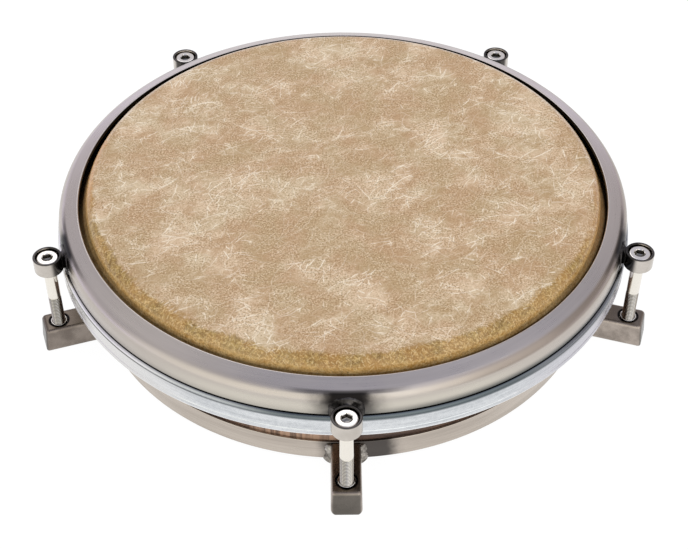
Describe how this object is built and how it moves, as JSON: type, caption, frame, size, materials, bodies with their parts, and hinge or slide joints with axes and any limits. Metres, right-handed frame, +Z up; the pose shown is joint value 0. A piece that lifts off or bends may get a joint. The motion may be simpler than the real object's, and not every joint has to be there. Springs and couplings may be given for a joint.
{
  "type": "travel conga",
  "caption": "Shallow hand drum: a fibre-look head on a low wooden shell, pulled down by a steel rim with tuning bolts that run to bracket lugs.",
  "frame": {"origin": "centre of the playing surface, on the drum's axis", "axes": "+Z up along the drum's axis, out of the playing surface; -Y towards the first lug"},
  "size_m": [0.3876, 0.3835, 0.0856],
  "materials": {
    "film": "fibre-mottled satin film",
    "shell_wood": "stained satin",
    "rim_nickel": "brushed black-nickel plate",
    "hoop_aluminium": "mill bright",
    "band_steel": "brushed black-nickel plate",
    "lug_steel": "satin black-nickel plate",
    "nut_zinc": "bright zinc plate",
    "bolt_nickel": "polished nickel plate"
  },
  "bodies": {
    "drum_body": {"wood_shell": "shell_wood", "shell_band": "band_steel", "head_film": "film", "lug_1": "lug_steel", "lug_2": "lug_steel", "lug_3": "lug_steel", "lug_4": "lug_steel", "lug_5": "lug_steel", "lug_nut_1": "nut_zinc", "lug_nut_2": "nut_zinc", "lug_nut_3": "nut_zinc", "lug_nut_4": "nut_zinc", "lug_nut_5": "nut_zinc"},
    "tuning_rim": {"rim": "rim_nickel", "flesh_hoop": "hoop_aluminium", "eyelet_1": "rim_nickel", "eyelet_2": "rim_nickel", "eyelet_3": "rim_nickel", "eyelet_4": "rim_nickel", "eyelet_5": "rim_nickel"},
    "bolt_1": {"tuning_bolt_1": "bolt_nickel"},
    "bolt_2": {"tuning_bolt_2": "bolt_nickel"},
    "bolt_3": {"tuning_bolt_3": "bolt_nickel"},
    "bolt_4": {"tuning_bolt_4": "bolt_nickel"},
    "bolt_5": {"tuning_bolt_5": "bolt_nickel"}
  },
  "joints": [
    {"name": "rim_travel", "type": "slide", "parent": "drum_body", "child": "tuning_rim", "axis": [0, 0, 1], "range_m": [-0.003, 0.004], "deforming": ["head_film"]},
    {"name": "bolt_1_turn", "type": "hinge", "parent": "tuning_rim", "child": "bolt_1", "pos_m": [0, -0.19, 0], "axis": [0, 0, 1], "range_deg": [-865, 1153]},
    {"name": "bolt_2_turn", "type": "hinge", "parent": "tuning_rim", "child": "bolt_2", "pos_m": [0.1807, -0.05871, 0], "axis": [0, 0, 1], "range_deg": [-865, 1153]},
    {"name": "bolt_3_turn", "type": "hinge", "parent": "tuning_rim", "child": "bolt_3", "pos_m": [0.11168, 0.15371, 0], "axis": [0, 0, 1], "range_deg": [-865, 1153]},
    {"name": "bolt_4_turn", "type": "hinge", "parent": "tuning_rim", "child": "bolt_4", "pos_m": [-0.11168, 0.15371, 0], "axis": [0, 0, 1], "range_deg": [-865, 1153]},
    {"name": "bolt_5_turn", "type": "hinge", "parent": "tuning_rim", "child": "bolt_5", "pos_m": [-0.1807, -0.05871, 0], "axis": [0, 0, 1], "range_deg": [-865, 1153]}
  ],
  "couplings": [
    {"joint": "bolt_1_turn", "follows": "rim_travel", "rad_per_m": 5026.5},
    {"joint": "bolt_2_turn", "follows": "rim_travel", "rad_per_m": 5026.5},
    {"joint": "bolt_3_turn", "follows": "rim_travel", "rad_per_m": 5026.5},
    {"joint": "bolt_4_turn", "follows": "rim_travel", "rad_per_m": 5026.5},
    {"joint": "bolt_5_turn", "follows": "rim_travel", "rad_per_m": 5026.5}
  ]
}
